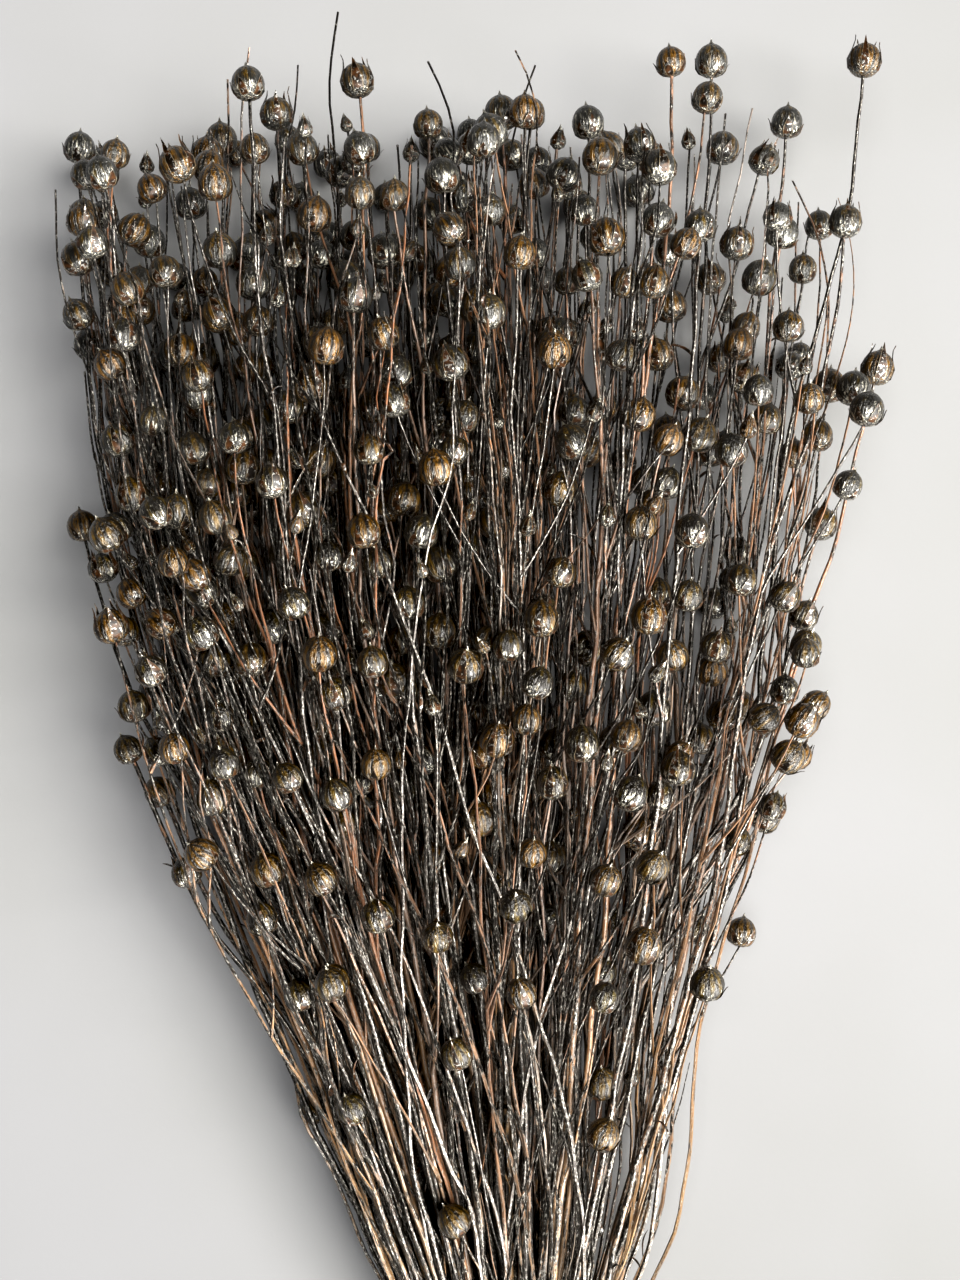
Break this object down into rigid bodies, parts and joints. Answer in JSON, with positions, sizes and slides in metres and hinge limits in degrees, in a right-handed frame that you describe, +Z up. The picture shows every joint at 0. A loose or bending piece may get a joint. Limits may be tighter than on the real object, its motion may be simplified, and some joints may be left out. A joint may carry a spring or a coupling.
{
  "type": "dried flax bunch",
  "caption": "Fanned bunch of dried, dark painted flax stalks with round ribbed seed bolls, lying down and tied at the stems, used as decoration.",
  "frame": {"origin": "on the table, at the middle of the flat side of the rubber band that ties the stems", "axes": "+Y along the bunch from the band towards the heads, +Z up off the table it lies on, +X to the right with the heads at the top"},
  "size_m": [0.1926, 0.4806, 0.0691],
  "materials": {
    "painted_flax": "brown straw and seed husk under worn black and graphite silver lacquer, glossy in flakes",
    "natural_rubber": "matte"
  },
  "bodies": {
    "root": {"plant_01": "painted_flax", "plant_02": "painted_flax", "plant_03": "painted_flax", "plant_04": "painted_flax", "plant_05": "painted_flax", "plant_06": "painted_flax", "plant_07": "painted_flax", "plant_08": "painted_flax", "plant_09": "painted_flax", "plant_10": "painted_flax", "plant_11": "painted_flax", "plant_12": "painted_flax", "plant_13": "painted_flax", "plant_14": "painted_flax", "plant_15": "painted_flax", "plant_16": "painted_flax", "plant_17": "painted_flax", "plant_18": "painted_flax", "plant_19": "painted_flax", "plant_20": "painted_flax", "plant_21": "painted_flax", "plant_22": "painted_flax", "plant_23": "painted_flax", "plant_24": "painted_flax", "plant_25": "painted_flax", "plant_26": "painted_flax", "plant_27": "painted_flax", "plant_28": "painted_flax", "plant_29": "painted_flax", "plant_30": "painted_flax", "plant_31": "painted_flax", "plant_32": "painted_flax", "plant_33": "painted_flax", "plant_34": "painted_flax", "plant_35": "painted_flax", "plant_36": "painted_flax", "plant_37": "painted_flax", "plant_38": "painted_flax", "plant_39": "painted_flax", "plant_40": "painted_flax", "plant_41": "painted_flax", "plant_42": "painted_flax", "plant_43": "painted_flax", "plant_44": "painted_flax", "plant_45": "painted_flax", "plant_46": "painted_flax", "plant_47": "painted_flax", "plant_48": "painted_flax", "plant_49": "painted_flax", "plant_50": "painted_flax", "plant_51": "painted_flax", "plant_52": "painted_flax", "tie_band": "natural_rubber"}
  },
  "joints": []
}
